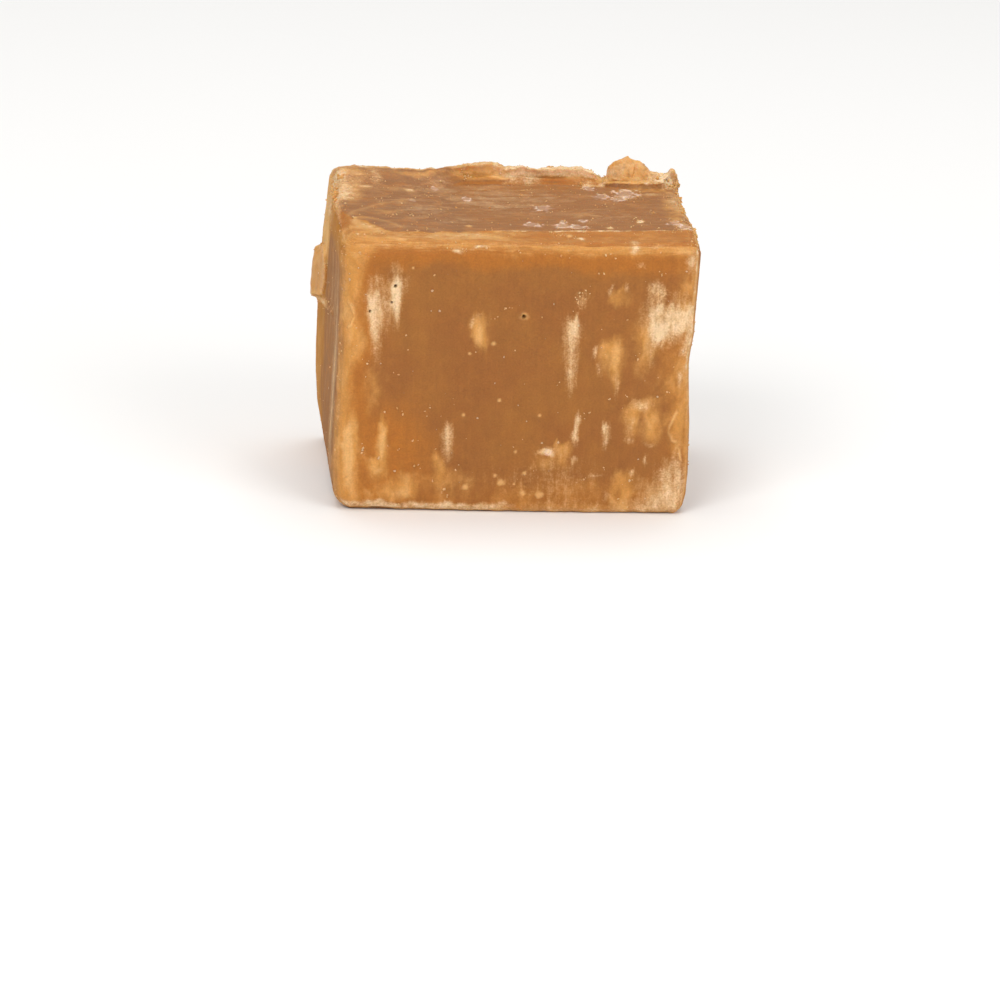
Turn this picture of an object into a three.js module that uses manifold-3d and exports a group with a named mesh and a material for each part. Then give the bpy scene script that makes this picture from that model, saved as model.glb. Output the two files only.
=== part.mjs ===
// A hand-cut cube of butter fudge: one solid block with softened edges, a torn crest standing along the
// back of its top face, a crumb caught on that crest, and a burr on the upright edge behind the left face.
// Millimetres, +Z up. The front cut face looks along -Y and is 26 mm wide along X.
// The origin is the middle of the part's box in plan, on the surface that the block rests on.
import * as THREE from "three";
import { mergeVertices } from "three/addons/utils/BufferGeometryUtils.js";
import Module from "manifold-3d";

// The block
const width = 26;
const depth = 20.2;
const height = 20.7;
const cutRadius = 0.8; // edges between two knife cuts
const frontTopRadius = 1.6; // the rolled edge over the front face
const frontLeftRadius = 1.2; // the softened upright beside it

// How the knife wandered, and how the block slumped before it set
const leftFlare = 1.1; // how far the left face leans out towards the back
const flareFade = 0.75; // share of that flare lost at the top and at the foot
const rightDent = { deep: 0.4, reach: 2.4, belowMiddle: 1 }; // shallow hollow in the right face
const topDip = { deep: 0.25, reach: 0.6 }; // sag of the top face, its reach as a share of the half size

// The torn crest along the back of the top face
const crestThickness = 1.3; // front to back, at its root
const crestTaper = 0.45; // how much thinner it is at the top
const crestSway = 0.2; // how far its rim wanders in from the back face
const crestRoot = 2; // how deep it starts inside the block

// The burr on the upright edge behind the left face
const burrThickness = 1.1;
const burrSetback = 0.5; // from the back face
const burrRoot = 1;

// The crumb caught on the crest
const crumb = { radius: 1.25, x: 9.7, setback: 1.1, rise: 0.62, turn: 0.35, knobs: 0.14 };

const tornRim = 0.2; // softened rims of the crest and the burr

// Grid cells over the block, and how strongly they crowd towards its edges
const cells = { x: 24, y: 18, z: 19 };
const crowding = 0.6;

// Height of the torn crest above the top face, from left to right: [x, height]
const crestProfile = [
  [-12.7, -0.7],
  [-12.3, 0.35],
  [-11.6, 0.66],
  [-7.9, 0.62],
  [-5.7, 0.55],
  [-3.6, 0.97],
  [-1.4, 1.17],
  [-0.1, 1.1],
  [0.5, 0.78],
  [1.9, 1.08],
  [2.5, 0.92],
  [5.1, 0.86],
  [6.4, 0.55],
  [7.4, 0.15],
  [8.1, 0.6],
  [11.0, 0.8],
  [12.2, 0.62],
  [12.5, 0.1],
  [12.7, -0.7],
];

// Outline of the burr seen from the front: [how far it stands off the square left face, height above the base]
const burrOutline = [
  [0.3, 16],
  [1.42, 15.1],
  [1.7, 13.05],
  [1.76, 12.35],
  [1.64, 11.6],
  [1.2, 11.2],
  [0.9, 10.5],
  [0.3, 9.9],
];

const half = new THREE.Vector3(width / 2, depth / 2, height / 2);
const clamp = THREE.MathUtils.clamp;
const hump = (distance, reach) => Math.exp(-((distance / reach) ** 2));

// How near a point is to each side of the block: 0 at the middle, 1 on the side.
const nearness = (p) => ({
  left: clamp(-p.x / half.x, 0, 1),
  right: clamp(p.x / half.x, 0, 1),
  front: clamp(-p.y / half.y, 0, 1),
  top: clamp(p.z / half.z, 0, 1),
});

function edgeRadiusAt(p) {
  const near = nearness(p);
  const rolled = (frontTopRadius - cutRadius) * near.front * near.top;
  const softened = (frontLeftRadius - cutRadius) * near.front * near.left;
  return cutRadius + rolled + softened;
}

// Moves a point on the square block onto the block with round edges.
function roundOff(p) {
  const radius = edgeRadiusAt(p);
  const core = half.clone().subScalar(radius);
  const foot = p.clone().clamp(core.clone().negate(), core);
  return p.sub(foot).setLength(radius).add(foot);
}

// Moves a point of the rounded block to where the cut and the slump left it.
function handCut(p) {
  const near = nearness(p);
  const belly = 1 - flareFade * (p.z / half.z) ** 2;
  const towardsBack = (p.y + half.y) / depth;
  const dent = near.right * near.front * hump(p.z + rightDent.belowMiddle, rightDent.reach);
  const dip = near.top * hump(p.x / half.x, topDip.reach) * hump(p.y / half.y, topDip.reach);
  p.x -= leftFlare * near.left * belly * towardsBack;
  p.x -= rightDent.deep * dent;
  p.z -= topDip.deep * dip;
  return p;
}

function blockGeometry() {
  const geometry = new THREE.BoxGeometry(2, 2, 2, cells.x, cells.y, cells.z);
  const position = geometry.getAttribute("position");
  const crowd = (t) => (1 - crowding) * t + crowding * Math.sin((t * Math.PI) / 2);
  const p = new THREE.Vector3();
  for (let i = 0; i < position.count; i++) {
    p.fromBufferAttribute(position, i);
    p.set(crowd(p.x), crowd(p.y), crowd(p.z)).multiply(half);
    position.setXYZ(i, ...handCut(roundOff(p)));
  }
  return geometry.translate(0, 0, half.z);
}

// A thin slab of torn fudge: an outline in the XZ plane with softened rims, its back face at y.
function tornSlab(points, thickness, y) {
  const outline = new THREE.Shape(points.map(([x, z]) => new THREE.Vector2(x, z)));
  const slab = new THREE.ExtrudeGeometry(outline, {
    depth: thickness - 2 * tornRim,
    bevelThickness: tornRim,
    bevelSize: tornRim,
    bevelOffset: -tornRim,
    bevelSegments: 2,
  });
  return slab.rotateX(Math.PI / 2).translate(0, y - tornRim, 0);
}

function crestGeometry() {
  const rim = crestProfile.map(([x, rise]) => [x, height + rise]);
  const root = height - crestRoot;
  const [left, right] = [rim[0][0], rim.at(-1)[0]];
  const back = half.y - 0.02; // just inside the back face, so the two faces don't fall together
  const slab = tornSlab([[left, root], [right, root], ...rim.reverse()], crestThickness, back);
  const position = slab.getAttribute("position");
  for (let i = 0; i < position.count; i++) {
    const above = Math.max(position.getZ(i) - height, 0);
    const forward = (back - position.getY(i)) / crestThickness;
    const sway = (crestSway * (1 + Math.sin(1.3 * position.getX(i)))) / 2;
    const inward = above * ((1 - forward) * sway - forward * crestTaper);
    position.setY(i, position.getY(i) - inward);
  }
  return slab;
}

function burrGeometry() {
  const inside = -half.x + burrRoot;
  const rim = burrOutline.map(([out, z]) => [-half.x - out, z]);
  const [top, foot] = [rim[0][1], rim.at(-1)[1]];
  return tornSlab([...rim, [inside, foot], [inside, top]], burrThickness, half.y - burrSetback);
}

// A knobbly crumb: a faceted ball whose corners are pushed in and out.
function crumbGeometry() {
  const ball = new THREE.IcosahedronGeometry(crumb.radius, 2);
  const position = ball.getAttribute("position");
  const p = new THREE.Vector3();
  for (let i = 0; i < position.count; i++) {
    p.fromBufferAttribute(position, i);
    const knob = Math.sin(3.1 * p.x + 1) * Math.sin(3.7 * p.y) + 0.6 * Math.sin(4.3 * p.z - 2 * p.x);
    p.multiplyScalar(1 + crumb.knobs * knob);
    position.setXYZ(i, ...p);
  }
  ball.scale(1.15, 0.8, 0.95).rotateY(crumb.turn);
  return ball.translate(crumb.x, half.y - crumb.setback, height + crumb.rise);
}

// A closed three.js geometry as a solid that can be joined to others.
function solidFrom(geometry) {
  const bare = new THREE.BufferGeometry();
  bare.setAttribute("position", geometry.getAttribute("position"));
  bare.setIndex(geometry.getIndex());
  const merged = mergeVertices(bare, 1e-4);
  return new wasm.Manifold(
    new wasm.Mesh({
      numProp: 3,
      vertProperties: merged.getAttribute("position").array,
      triVerts: new Uint32Array(merged.getIndex().array),
    }),
  );
}

function geometryFrom(solid) {
  const mesh = solid.getMesh();
  const geometry = new THREE.BufferGeometry();
  geometry.setAttribute("position", new THREE.BufferAttribute(mesh.vertProperties, 3));
  geometry.setIndex(new THREE.BufferAttribute(mesh.triVerts, 1));
  geometry.computeVertexNormals();
  return geometry;
}

const wasm = await Module();
wasm.setup();

const torn = [crestGeometry(), burrGeometry(), crumbGeometry()].map(solidFrom);
const joined = torn.reduce((whole, piece) => whole.add(piece), solidFrom(blockGeometry()));

const fudge = new THREE.MeshStandardMaterial({ color: 0xb0753c, roughness: 0.5, metalness: 0 });
const cube = new THREE.Mesh(geometryFrom(joined), fudge);
cube.name = "fudge_cube";

const extent = new THREE.Box3().setFromObject(cube);
const middle = extent.getCenter(new THREE.Vector3());
cube.position.set(-middle.x, -middle.y, -extent.min.z);

const part = new THREE.Group();
part.name = "fudge cube";
part.add(cube);

export default part;
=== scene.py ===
import math
from functools import reduce
from types import SimpleNamespace
import bmesh
import bpy
import numpy as np
from mathutils import Matrix, Vector


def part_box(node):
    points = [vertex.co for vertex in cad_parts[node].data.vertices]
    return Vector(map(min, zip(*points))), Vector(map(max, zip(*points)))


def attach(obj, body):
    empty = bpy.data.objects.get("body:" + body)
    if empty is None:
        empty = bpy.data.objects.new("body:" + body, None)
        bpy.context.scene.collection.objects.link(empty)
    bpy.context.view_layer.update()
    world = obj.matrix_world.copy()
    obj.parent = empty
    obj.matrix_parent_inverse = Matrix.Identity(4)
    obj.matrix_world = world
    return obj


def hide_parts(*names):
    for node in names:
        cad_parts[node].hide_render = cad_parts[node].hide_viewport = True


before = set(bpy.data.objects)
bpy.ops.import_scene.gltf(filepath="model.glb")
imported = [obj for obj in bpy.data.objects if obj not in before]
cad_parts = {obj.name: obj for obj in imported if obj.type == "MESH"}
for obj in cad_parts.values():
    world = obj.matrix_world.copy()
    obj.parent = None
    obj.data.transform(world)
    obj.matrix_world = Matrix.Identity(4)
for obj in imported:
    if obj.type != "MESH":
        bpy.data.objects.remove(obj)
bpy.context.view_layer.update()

# Everything below is worked out in millimetres and turned to metres when a mesh is made.
mm = 0.001
low, high = [np.array(corner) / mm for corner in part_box("fudge_cube")]


def linear(hexColour):
    # sRGB hex to the linear colour that shaders use
    parts = [int(hexColour[i:i + 2], 16) / 255 for i in (1, 3, 5)]
    return (*[p / 12.92 if p <= 0.04045 else ((p + 0.055) / 1.055) ** 2.4 for p in parts], 1)


def addNode(tree, kind, links={}, out=0, **settings):
    # one node with its settings and its sockets set or linked; gives the output that is asked for
    node = tree.nodes.new("ShaderNode" + kind)
    for name, value in settings.items():
        setattr(node, name, value)
    for socket, value in links.items():
        if isinstance(value, bpy.types.NodeSocket):
            tree.links.new(value, node.inputs[socket])
        else:
            node.inputs[socket].default_value = value
    return node.outputs[out]


def newMaterial(name, sockets):
    # a material with these values on its shader
    material = bpy.data.materials.new(name)
    material.use_nodes = True
    shader = material.node_tree.nodes["Principled BSDF"]
    for socket, value in sockets.items():
        shader.inputs[socket].default_value = value
    return material, material.node_tree, shader


def addObject(name, data):
    made = bpy.data.objects.new(name, data)
    bpy.context.scene.collection.objects.link(made)
    return made


def ease(start, end, value):
    # a smooth step from 0 at start to 1 at end, which may be the smaller of the two
    t = np.clip((value - start) / (end - start), 0, 1)
    return t * t * (3 - 2 * t)


def bell(value, width):
    # 1 at zero, falling off on both sides
    return np.exp(-((value / width) ** 2))


def most(*values):
    # the largest value at each point
    return reduce(np.maximum, values)


def hashed(cells, seed):
    # a fixed random number from 0 to 1 for each cell of a lattice
    key = cells @ np.array([374761393, 668265263, 1274126177]) + seed * 974634777
    key = ((key ^ (key >> 13)) * 1103515245) & 0x7FFFFFFF
    key = ((key ^ (key >> 15)) * 1597334677) & 0x7FFFFFFF
    return (key >> 7) / 2.0**24


def lumps(points, size, seed, octaves=1):
    # smooth noise from -1 to 1, its lumps about size mm across; size may differ along x, y and z
    total, share, weight = 0, 0, 1
    for octave in range(octaves):
        cell = points / (np.array(size) / 2**octave) + 31.7 * (seed + 0.37 * octave)
        base = np.floor(cell).astype(np.int64)
        blend = cell - base
        blend = blend**3 * (blend * (blend * 6 - 15) + 10)
        for corner in np.ndindex(2, 2, 2):
            part = np.prod(np.where(corner, blend, 1 - blend), axis=1)
            total = total + weight * part * (2 * hashed(base + corner, seed) - 1)
        share, weight = share + weight, weight / 2
    return total / share


def grains(points, size, seed):
    # packed grains of uneven height, from 0 in the valleys between them to 1
    cell = points / size + 13.1 * seed
    base = np.floor(cell).astype(np.int64)
    nearest, lift = np.full(len(points), 9.0), np.zeros(len(points))
    for corner in np.ndindex(3, 3, 3):
        c = base + corner - 1
        centre = c + np.stack([hashed(c, seed + axis) for axis in range(3)], axis=1)
        away = np.linalg.norm(centre - cell, axis=1)
        lift = np.where(away < nearest, hashed(c, seed + 3), lift)
        nearest = np.minimum(nearest, away)
    return (0.35 + 0.65 * lift) * np.clip(1 - nearest, 0, 1)


def makePiece(name, points, faces, material, marks={}):
    # a mesh object in metres, with one float attribute for each named mark
    mesh = bpy.data.meshes.new(name)
    mesh.from_pydata((points * mm).tolist(), [], faces)
    mesh.shade_smooth()
    for mark, values in marks.items():
        layer = mesh.attributes.new(mark, "FLOAT", "POINT")
        layer.data.foreach_set("value", np.asarray(values, np.float32))
    mesh.materials.append(material)
    piece = addObject(name, mesh)
    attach(piece, "root")
    print(name, "has", sum(len(face) - 2 for face in faces), "triangles")
    return piece


# The block, cut by hand from a set slab. Heights and places are in mm from the middle of the foot.
block = {
    "width": 26.0,
    "height": 20.7,
    "step": 0.3,  # between points of its skin, before the fine places are divided
    "crowding": 0.3,  # how strongly those points crowd towards the edges
    "fineReach": 1.1,  # how far round the edges of the front and the top the skin is divided too
    "cutRadius": 0.7,
    "frontTopRadius": 0.95,
    "frontLeftRadius": 1.3,
    "crestRadius": 0.3,
    "leftFlare": 1.1,
    "backRightLean": 0.35,
    "rightBulge": 0.25,  # of the right face under its upper edge
    "topDip": 0.25,
    "wave": 0.11,  # slow unevenness of every face
    "knifeDrag": 0.02,  # depth of the upright drag lines on cut faces
    "tornGrain": 0.15,  # height of the grains on torn places
    "chipped": 0.28,  # how much of a broken edge is gone
    # height of the smaller relief on the faces
    "relief": {
        "cut": 0.03, "topDrag": 0.05, "rim": 0.05, "cream": 0.035, "lip": 0.05, "skinEdge": 0.07,
        "wrinkle": 0.12, "strip": 0.15, "pit": 0.4, "spot": 0.03, "ring": 0.06, "strata": 0.07,
        "crestGrain": 0.05,
    },
    # how far the top runs down from the edge of its skin to the front, along x
    "rollDrop": [(-13, 0), (-11.6, 0.12), (8, 0.2), (13.6, 0.1)],
    # height of the torn crest above the top face, along x
    "crest": [
        (-12.4, 0), (-11.9, 0.7), (-11.4, 1), (-9.2, 0.98), (-7, 0.85), (-5.3, 0.82), (-3.6, 1.08),
        (-2.3, 1.26), (-1, 1.4), (0.3, 1.4), (0.85, 1), (1.5, 1.2), (2.2, 1.38), (2.8, 1.2), (3.3, 1.05),
        (5, 1.16), (6.7, 1.12), (7.5, 0.8), (8.15, 0.3), (8.7, 0.47), (11.8, 0.5), (12.7, 0.7),
        (13.05, 0.85), (13.25, 1.15), (13.5, 1.1), (13.85, 0.6), (14.1, 0),
    ],
    # how wide the crest's slope is, along x: on the left it is only a gentle rise
    "crestSlope": [(-12.4, 9), (-5.5, 6), (-1.5, 1.5), (14.1, 1.5)],
    # how far its lowest step comes forward, along x, under the crumb
    "stepForward": [(7.8, 0), (8.2, 0.4), (8.7, 0.9), (10.4, 1.15), (12.2, 1.45), (12.8, 1.1), (13.3, 0.2)],
    # how far the burr behind the left face stands off the square block, along z
    "burr": [
        (10.8, 1), (11.2, 1.25), (11.5, 1.47), (11.9, 1.68), (13.7, 1.64), (14.6, 1.52), (15.25, 1.45),
        (15.5, 1),
    ],
    # outline of the thin flap that runs forward from it on the left face, and the torn strip below: (y, z)
    "flap": [(10.4, 15.35), (5.8, 16.3), (2.6, 15.4), (2.4, 14.3), (4.2, 12.9), (10.4, 11), (10.4, 15.35)],
    "flapStrip": [(9.5, 11.3), (4, 12.4), (-0.6, 13.1), (-3.4, 13.4)],
    # how far the left face stands out, along z
    "leftSway": [(0, 0), (1.2, 0.2), (3, 0.34), (6, 0.27), (9, 0.12), (12, 0), (15, 0), (19, 0.1)],
    # how far the right face stands in or out beside the front, along z
    "rightSway": [
        (0, -0.5), (1.5, -0.15), (3, -0.02), (7.3, -0.06), (9.4, -0.18), (11.5, -0.28), (12.4, -0.2),
        (13.7, 0.02), (16, 0.12), (18.9, 0.27), (20.7, 0.36),
    ],
    # where the skin of the top ends and the bare roll to the front begins, along x
    "skinEdge": [
        (-12.4, 4), (-11.5, -1.6), (-11, -3.3), (-10.3, -4), (-9.5, -5.3), (-8.6, -6.8), (-7.3, -7.5),
        (-4.9, -6.95), (1.4, -6.5), (11.6, -6), (14, -5.3),
    ],
    # how much narrower the golden rim of the front's upper edge is, along x
    "rimRise": [(-12.4, 0.1), (-9.4, 0.8), (-6.5, 0.45), (-3.5, 0.2), (2.3, 0.3), (6, 0.15), (14, 0)],
    # how far under the front's upper edge its pale lip runs, along x
    "lip": [(-12.4, 1.7), (-11.1, 0.45), (-9.5, 0.05), (14, 0)],
}
half = np.array([block["width"] / 2, (high[1] - low[1]) / 2, block["height"] / 2])
middle = np.array([high[0] - half[0], 0, half[2]])
sideAxes = {"left": (1, 2), "front": (0, 2), "foot": (0, 1), "right": (1, 2), "back": (0, 2), "top": (0, 1)}

# Marks on each side. Across is x on the front, the back, the top and the foot, and y on the other two;
# up is z, or y on the top and the foot.
marks = {
    # drawn down by the knife, ragged above and running out below (on the left face, a painted highlight of
    # the same shape):
    # (across, up, across and up at the tail, half width, half width at the tail, strength)
    "strokes": {
        ("cream", "front"): [
            (-9.8, 17.4, -9.35, 11, 0.72, 0.34, 0.95), (-9.6, 18.4, -9.6, 16.2, 0.6, 0.7, 0.45),
            (-8.15, 17.8, -8.1, 13.7, 0.56, 0.28, 1.15), (-8.15, 18.9, -8.1, 17, 0.5, 0.45, 0.5),
            (-7.4, 18.2, -7.4, 16, 0.35, 0.3, 0.38), (-8.8, 17.8, -8.8, 13, 0.45, 0.4, 0.5),
            (4.8, 14.9, 4.9, 8.5, 0.85, 0.32, 0.66), (5.05, 15.1, 4.85, 11.7, 0.55, 0.36, 0.76),
            (11.7, 16.3, 11.4, 12.5, 1.65, 1.2, 0.85), (11.25, 14.8, 11.2, 12.9, 0.62, 0.5, 1.15),
            (12.6, 16.1, 12.5, 13.2, 0.8, 0.7, 0.9), (13.45, 16.2, 13.3, 11.6, 0.4, 0.3, 0.9),
            (11, 17.7, 11, 15.3, 0.8, 0.9, 0.62), (12.8, 17.3, 12.8, 15.3, 0.7, 0.7, 0.42),
            (6.6, 13.2, 6.45, 11.8, 0.2, 0.22, 0.7), (6.9, 11.7, 7, 10.4, 0.25, 0.15, 0.5),
            (8.25, 10.9, 8.3, 8.7, 0.26, 0.12, 0.55), (7.7, 17.6, 7.5, 16.6, 0.16, 0.18, 0.7),
            (8.7, 17.6, 8.7, 16.6, 0.2, 0.2, 0.5), (5.6, 17, 5.6, 15.5, 0.6, 0.5, 0.36),
            (-2.5, 15, -2.45, 13.7, 0.3, 0.15, 0.6), (-1.9, 15.2, -1.9, 14.5, 0.5, 0.3, 0.4),
            (5.55, 7.6, 5.2, 5.2, 0.22, 0.3, 0.92), (7.55, 7.1, 7.6, 4.7, 0.38, 0.24, 0.75),
            (5.3, 4.7, 5.3, 3.9, 0.3, 0.25, 0.65), (4.3, 5.3, 4.4, 3.8, 0.5, 0.5, 0.5),
            (12.6, 4.8, 12.4, -0.4, 0.7, 1.6, 0.5), (7.8, 1.9, 7.7, 0.9, 0.35, 0.3, 0.5),
            (9.7, 3.4, 9.6, 2.6, 0.3, 0.15, 0.75), (4.8, 1.2, 4.8, -0.8, 3.4, 3.4, 0.3),
            (-4.1, 7, -4.05, 3.5, 0.46, 0.36, 0.8),
        ],
        # this pale upright streak on the left face is a painted highlight, where the left face turns towards
        # the front
        ("cream", "left"): [(-6.4, 13.5, -6.8, 0, 0.35, 0.4, 0.8)],
        ("gold", "front"): [
            (-2, 15.2, -1.75, 12.2, 0.7, 0.55, 0.95), (8, 13.5, 8.2, 9, 0.85, 0.3, 0.8),
            (7.2, 13.1, 7.3, 10.6, 0.5, 0.3, 0.6), (8.2, 17.2, 8.2, 15.6, 0.9, 0.7, 0.8),
            (4.3, 5.5, 4.3, 3.4, 0.75, 0.7, 0.95), (8.95, 3.5, 8.8, 0.3, 0.75, 1.2, 0.85),
            (-11.25, 8.5, -11, 0.6, 0.5, 0.6, 0.85), (-8.8, 7.4, -8.9, 2.2, 0.3, 0.6, 0.9),
            (-9.6, 4.2, -9.4, 2.3, 0.6, 0.7, 0.6), (-7.4, 3, -7.4, 0.4, 1.3, 1.6, 0.7),
            (-5.3, 2.7, -5.3, 1.1, 1, 1, 0.45), (-4.7, 4.6, -4.6, 1.7, 0.45, 0.6, 0.8),
            (13, 8.4, 13, 4.6, 0.5, 0.4, 0.95), (13.35, 12, 13.3, 8.6, 0.3, 0.3, 0.6),
            (-9.6, 1.5, -9.6, 0.1, 1, 1.4, 0.5), (1.3, 1.8, 1.3, 0.2, 2.5, 2.5, 0.3),
            (-9.9, 15.2, -9.8, 11.5, 0.9, 0.5, 0.3),
        ],
        ("pale", "front"): [
            (-11.5, 6.7, -11.3, 0.9, 0.38, 0.46, 1.15), (-11.45, 15.5, -11.5, 9, 0.5, 0.4, 0.45),
            (-8.8, 6.8, -8.9, 3.4, 0.25, 0.32, 0.7), (8.15, 13.4, 8.2, 9.6, 0.5, 0.2, 0.6),
        ],
    },
    # soft patches: (across, up, half width, half height, strength)
    "clouds": {
        ("cream", "front"): [
            (3.1, 4.85, 0.6, 0.22, 1.15), (3.55, 4.65, 0.3, 0.2, 0.9), (-3.7, 20, 0.45, 0.22, 1.1),
            (-2.1, 20.12, 0.6, 0.13, 1.1), (9.4, 20.1, 0.45, 0.35, 1.1), (9.35, 6.9, 0.4, 0.9, 0.5),
            (10, 8.5, 0.8, 0.45, 0.78), (9.4, 5.7, 0.45, 0.25, 0.5), (10.9, 5.5, 0.55, 0.22, 0.5),
            (10.6, 13, 0.5, 1.8, 0.45), (12.1, 1.3, 1.9, 1.3, 0.72), (13.2, 3, 0.6, 1.8, 0.66),
            (11.2, 0.7, 1.8, 0.8, 0.75), (12.3, 3.2, 0.9, 1, 0.55), (6.5, 0.2, 5.5, 0.4, 0.5),
            (13, 10.6, 0.35, 0.7, 0.65), (10.65, 4.2, 0.13, 0.45, 0.8), (6.9, 3.1, 0.7, 0.14, 0.6),
            (11.2, 15.4, 0.9, 0.6, 0.4), (13.5, 19.4, 0.35, 1, 0.7), (13.2, 12.9, 0.4, 0.8, 0.5),
            (3.6, 2.6, 4.2, 1.8, 0.3), (3.4, 3.9, 1, 0.5, 0.3),
        ],
        ("cream", "top"): [
            (-11.5, 4, 1.1, 2.1, 0.9), (-11.9, 7.4, 0.8, 1.6, 0.95), (-12.2, 2.4, 0.4, 1.4, 0.7),
            (9.4, 4.2, 1.2, 1, 0.4), (7.2, 8.4, 0.6, 0.6, 0.95), (8.3, 8.2, 0.4, 0.6, 0.8),
            (13.3, -4.2, 0.6, 0.9, 0.7), (9.4, -9.3, 0.4, 0.8, 0.8), (4.6, -4.7, 1, 0.9, 0.4),
            (13.3, 3, 0.6, 3.4, 0.6), (12.9, 8.6, 1.1, 1.2, 1.45), (11.8, 5.6, 1, 0.7, 0.6),
            (2.9, 9, 0.9, 0.8, 0.8), (-2, 9.6, 3, 0.5, 0.5), (-4.5, -8.4, 3.4, 0.6, 0.45),
            (1.3, 9.1, 1.1, 0.8, 0.85), (-10.8, 7, 1.4, 2.6, 0.42), (-10, 9.2, 2, 0.6, 0.4),
            (10.2, -3.1, 0.22, 0.4, 1.6), (-9.1, 7.6, 0.5, 1.8, 0.6), (5.45, -7.97, 0.22, 0.35, 1.4),
            (7.82, -5.41, 0.18, 0.3, 1.2), (-9.8, 5.4, 0.7, 0.25, 0.9), (-6.5, 5.4, 0.4, 0.3, 0.8),
            (-5.8, 5.9, 2.6, 0.25, 0.35), (2, 2.3, 2.4, 0.3, 0.4), (7, 0.6, 2, 0.25, 0.35),
            (1.5, 6.6, 3, 0.3, 0.4),
        ],
        ("cream", "right"): [
            (3, 9.8, 2.4, 2.3, 0.5), (0.2, 11.5, 1.3, 2.8, 0.45), (-4.5, 6, 1, 1.4, 0.4),
            (6, 15, 0.8, 2.2, 0.4), (-7.4, 13.5, 0.5, 2.2, 0.5),
        ],
        ("cream", "left"): [(5.5, 19.4, 4.5, 1.3, 0.7), (9, 17.4, 1.2, 1.4, 0.5)],
        ("cream", "back"): [(-9, 13, 1, 0.8, 0.5), (9.5, 6.5, 1.3, 0.7, 0.45)],
        ("cream", "foot"): [
            (-6, -4, 3, 2, 0.5), (5, 3, 4, 1.8, 0.45), (9, -6, 2, 1.6, 0.5), (-2, 6, 2.4, 1.4, 0.45),
        ],
        ("gold", "front"): [
            (-11.5, 15.3, 0.5, 0.9, 0.95), (9.5, 7.3, 0.65, 1.3, 1.12), (11, 7.1, 0.75, 1.4, 1.2),
            (11.95, 7.3, 0.4, 0.8, 0.7), (10.5, 8.7, 1.2, 0.4, 0.6), (7.9, 12, 1.2, 1.8, 0.42),
            (10.3, 13.3, 0.9, 2.2, 0.85), (3, 0.2, 6, 0.7, 0.55), (-9.4, 2.9, 0.9, 0.7, 0.6),
            (-7.6, 1.5, 1.5, 0.8, 0.75), (-11.4, 4, 0.7, 3.6, 0.9), (12.9, 6.3, 0.6, 1.4, 0.8),
            (12.7, 10.2, 1.2, 2.6, 0.62), (13.2, 16.3, 0.8, 3, 0.7), (12.4, 7.7, 0.5, 0.7, 0.5),
            (9.8, 8.3, 0.7, 0.6, 0.8), (3.4, 3.9, 1.2, 0.7, 0.5), (-3.4, 1.7, 2.2, 2.2, 0.45),
            (5, 1.9, 6, 1, 0.36), (-9.6, 9.3, 0.9, 2, 0.55), (1, 19.9, 2.6, 0.5, 0.5),
        ],
        ("gold", "top"): [
            (-11, 8, 1.2, 1.6, 0.8), (-11.2, 4, 1.3, 2.4, 0.7), (-5, 8.6, 5, 0.6, 0.5),
            (-10.6, -3, 0.7, 1.2, 0.4), (-8.4, -1.4, 1.5, 1, 0.4), (11.8, 7.2, 2.2, 0.8, 0.6),
            (13, 0, 0.8, 6, 0.6),
        ],
        ("gold", "left"): [
            (7.5, 18.3, 4, 3, 1.1), (5, 16.9, 2.6, 1.8, 0.9), (7, 6, 3.6, 7, 0.5), (9.8, 10, 1.2, 20, 0.8),
        ],
        ("gold", "back"): [
            (-6.5, 15.5, 1.3, 1, 0.6), (-3, 12.5, 1.5, 0.9, 0.6), (5.5, 13, 1.6, 1.3, 0.65),
            (9, 9.5, 1.1, 1.6, 0.5), (1.5, 5.5, 1.4, 0.9, 0.45), (-9.5, 5.5, 0.8, 2.4, 0.6),
        ],
        ("gold", "right"): [(-9, 8, 0.8, 5, 0.8), (9.3, 11, 0.7, 4, 0.7)],
        ("pale", "front"): [
            (11, 7.2, 0.4, 0.8, 0.5), (-1.9, 13.6, 0.35, 0.9, 0.6), (12.8, 20, 0.9, 0.3, 0.9),
            (-7.4, 1.4, 0.9, 0.6, 0.75), (-9.3, 3, 0.5, 0.45, 0.6), (8.9, 0.6, 1.1, 0.8, 0.6),
            (10.3, 13, 0.6, 1.6, 0.5), (1.3, 15, 0.4, 0.34, 1), (11.6, 1.6, 2, 1.2, 0.8),
        ],
        ("pale", "left"): [(8.5, 18, 3, 2.6, 1), (5, 17, 2.4, 1.8, 0.95)],
        ("pale", "top"): [(6.4, 9.2, 1.6, 0.8, 0.6)],
        # rough and crumbly, not cut
        ("torn", "front"): [
            (12.4, 1.5, 1.7, 1.3, 0.45), (3.1, 4.85, 0.6, 0.25, 0.7), (9.7, 18.9, 0.5, 0.4, 0.5),
            (-3.7, 20, 0.5, 0.25, 0.55), (5.55, 16.4, 0.45, 0.6, 0.5), (11.3, 16.7, 0.8, 0.7, 0.45),
        ],
        ("torn", "top"): [
            (-11.9, 7.6, 1.2, 2.2, 0.7), (-12.1, 4, 0.7, 2.6, 0.7), (-12.2, 0.4, 0.5, 2, 0.6),
            (12.4, 8.2, 1.6, 1, 0.8), (13.6, 2, 0.4, 6, 0.7), (7.3, 8.4, 1.3, 0.4, 0.7),
            (0, 9.6, 13, 0.5, 0.5),
        ],
        ("torn", "left"): [(6, 20.5, 4.5, 0.7, 0.7), (-3, 20.6, 5, 0.4, 0.6)],
        ("torn", "right"): [
            (4, 20.3, 6, 0.5, 0.8), (-6, 20.4, 3.5, 0.4, 0.6), (0, 0.4, 7, 0.5, 0.6),
            (9.8, 8, 0.4, 6, 0.6),
        ],
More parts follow.
